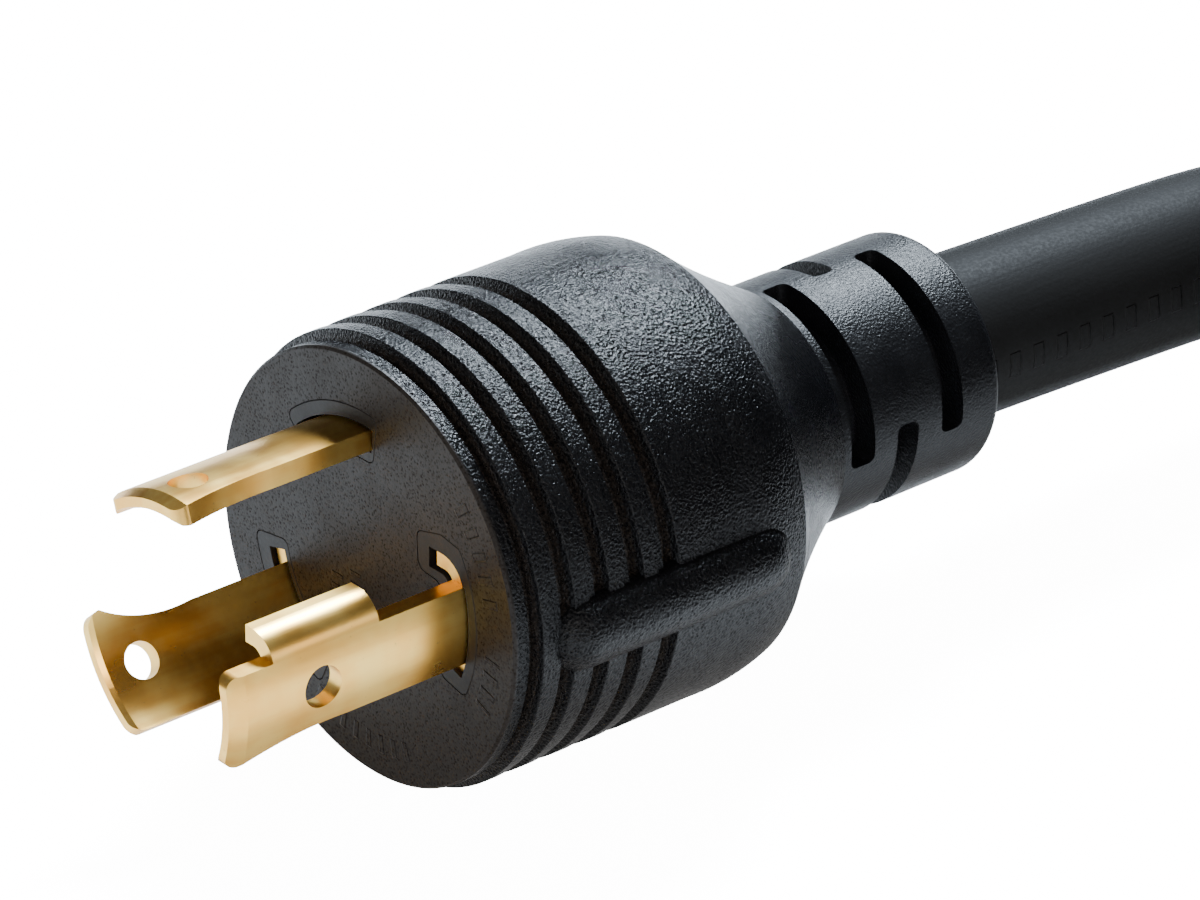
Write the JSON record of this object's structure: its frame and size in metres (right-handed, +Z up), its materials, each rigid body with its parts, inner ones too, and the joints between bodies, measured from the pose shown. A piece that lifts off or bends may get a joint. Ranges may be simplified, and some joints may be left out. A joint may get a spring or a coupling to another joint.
{
  "type": "shore power cord",
  "caption": "Heavy power cord with a moulded locking plug, a locking connector with a threaded ring, and its spare cable strapped in a coil.",
  "frame": {"origin": "under the middle of the plug, on the ground that the cord lies on", "axes": "+X along the plug from its blades to its cable, +Z up, +Y to the side away from the coil"},
  "size_m": [0.3514, 0.2841, 0.0698],
  "materials": {
    "overmould": "moulded, fine pebble grain",
    "relief": "moulded, matte",
    "carrier": "moulded, satin",
    "inner_plastic": "moulded, hidden",
    "brass": "satin, finely brushed",
    "copper": "bare strands, hidden",
    "insulation_black": "smooth",
    "insulation_white": "smooth",
    "insulation_green": "smooth",
    "filler": "fibre and paper",
    "jacket": "extruded, satin",
    "ring": "moulded, fluted",
    "gasket": "smooth",
    "strap": "woven hook and loop"
  },
  "bodies": {
    "cord": {"plug_body": "overmould", "plug_strain_relief": "relief", "blade_carrier": "carrier", "neutral_blade": "brass", "hot_blade": "brass", "ground_blade": "brass", "plug_inner_mould": "inner_plastic", "plug_neutral_terminal": "brass", "plug_neutral_conductor": "copper", "plug_neutral_insulation": "insulation_white", "plug_hot_terminal": "brass", "plug_hot_conductor": "copper", "plug_hot_insulation": "insulation_black", "plug_ground_terminal": "brass", "plug_ground_conductor": "copper", "plug_ground_insulation": "insulation_green", "plug_cable_filler": "filler", "plug_cable_jacket": "jacket", "connector_body": "overmould", "connector_strain_relief": "relief", "connector_socket": "carrier", "connector_core": "carrier", "connector_webs": "carrier", "neutral_contact": "brass", "hot_contact": "brass", "ground_contact": "brass", "connector_inner_mould": "inner_plastic", "connector_neutral_terminal": "brass", "connector_neutral_conductor": "copper", "connector_neutral_insulation": "insulation_white", "connector_hot_terminal": "brass", "connector_hot_conductor": "copper", "connector_hot_insulation": "insulation_black", "connector_ground_terminal": "brass", "connector_ground_conductor": "copper", "connector_ground_insulation": "insulation_green", "connector_cable_filler": "filler", "connector_cable_jacket": "jacket", "sealing_gasket": "gasket", "cord_lead": "jacket", "cord_coil": "jacket", "cord_tail": "jacket", "coil_strap_1": "strap", "coil_strap_2": "strap"},
    "ring": {"locking_ring": "ring"}
  },
  "joints": [
    {"name": "locking_ring_turn", "type": "hinge", "parent": "cord", "child": "ring", "pos_m": [-0.038, -0.2316, 0.0285], "axis": [1, 0, 0], "continuous": true}
  ]
}
